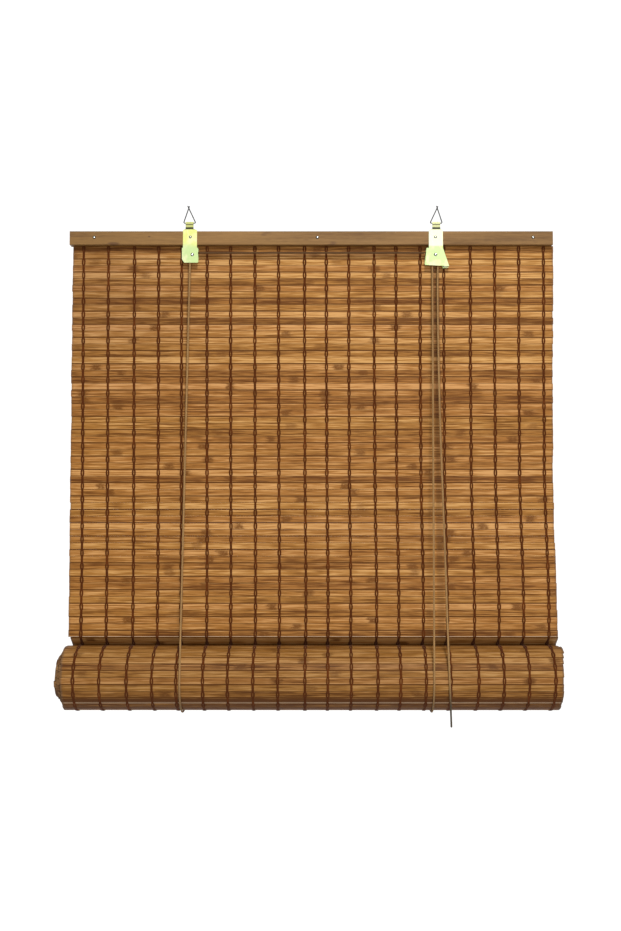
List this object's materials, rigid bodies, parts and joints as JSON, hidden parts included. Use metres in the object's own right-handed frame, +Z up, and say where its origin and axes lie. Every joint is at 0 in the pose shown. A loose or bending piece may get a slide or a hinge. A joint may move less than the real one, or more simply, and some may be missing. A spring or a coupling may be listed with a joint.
{
  "type": "bamboo roll-up blind",
  "caption": "Part-rolled bamboo slat blind on a nailed wooden head rail, hung from wire rings, with pulleys, a cord lock, a lift cord slung under the roll and a hanging pull cord.",
  "frame": {"origin": "midway between the two places where the rings hang on their hooks", "axes": "+X to the right along the head rail, +Y back from the room towards the wall, +Z up"},
  "size_m": [0.8103, 0.115, 0.8451],
  "materials": {
    "bamboo_slats": "satin",
    "bamboo_roll": "satin",
    "rail_wood": "satin",
    "warp_yarn": "matt",
    "cord": "matt",
    "yellow_zinc": "yellow zinc plated",
    "pulley_plastic": "matt",
    "bright_steel": "bright"
  },
  "bodies": {
    "blind": {"bamboo_roll": "bamboo_roll", "bottom_bar": "rail_wood", "front_rail_slat": "rail_wood", "left_bracket": "yellow_zinc", "left_bracket_nail": "bright_steel", "left_pulley_pin": "bright_steel", "left_rear_eye": "bright_steel", "lift_cord": "cord", "pull_cord": "cord", "rail_nails": "bright_steel", "rear_rail_slat": "rail_wood", "right_bracket": "yellow_zinc", "right_bracket_nail": "bright_steel", "right_pulley_pin": "bright_steel", "right_rear_eye": "bright_steel", "slat_pair_01": "bamboo_slats", "slat_pair_02": "bamboo_slats", "slat_pair_03": "bamboo_slats", "slat_pair_04": "bamboo_slats", "slat_pair_05": "bamboo_slats", "slat_pair_06": "bamboo_slats", "slat_pair_07": "bamboo_slats", "slat_pair_08": "bamboo_slats", "slat_pair_09": "bamboo_slats", "slat_pair_10": "bamboo_slats", "slat_pair_11": "bamboo_slats", "slat_pair_12": "bamboo_slats", "slat_pair_13": "bamboo_slats", "slat_pair_14": "bamboo_slats", "slat_pair_15": "bamboo_slats", "slat_pair_16": "bamboo_slats", "slat_pair_17": "bamboo_slats", "slat_pair_18": "bamboo_slats", "slat_pair_19": "bamboo_slats", "slat_pair_20": "bamboo_slats", "slat_pair_21": "bamboo_slats", "slat_pair_22": "bamboo_slats", "slat_pair_23": "bamboo_slats", "slat_pair_24": "bamboo_slats", "slat_pair_25": "bamboo_slats", "slat_pair_26": "bamboo_slats", "slat_pair_27": "bamboo_slats", "slat_pair_28": "bamboo_slats", "slat_pair_29": "bamboo_slats", "slat_pair_30": "bamboo_slats", "slat_pair_31": "bamboo_slats", "warp_yarns": "warp_yarn"},
    "left_ring": {"left_hanging_ring": "bright_steel"},
    "right_ring": {"right_hanging_ring": "bright_steel"},
    "left_wheel": {"left_pulley": "pulley_plastic"},
    "right_wheel": {"right_pulley": "pulley_plastic"},
    "roller": {"lock_roller": "bright_steel"}
  },
  "joints": [
    {"name": "left_ring_swing", "type": "hinge", "parent": "blind", "child": "left_ring", "pos_m": [-0.2042, 0, -0.024], "axis": [1, 0, 0], "range_deg": [-110, 145]},
    {"name": "right_ring_swing", "type": "hinge", "parent": "blind", "child": "right_ring", "pos_m": [0.2042, 0, -0.024], "axis": [1, 0, 0], "range_deg": [-110, 145]},
    {"name": "left_pulley_spin", "type": "hinge", "parent": "blind", "child": "left_wheel", "pos_m": [-0.1994, 0.00197, -0.0771], "axis": [0, 1, 0], "continuous": true},
    {"name": "right_pulley_spin", "type": "hinge", "parent": "blind", "child": "right_wheel", "pos_m": [0.2028, 0.00197, -0.0771], "axis": [0, 1, 0], "continuous": true},
    {"name": "lock_roller_slide", "type": "slide", "parent": "blind", "child": "roller", "axis": [-0.3125, 0, 0.9499], "range_m": [0, 0.018]}
  ]
}
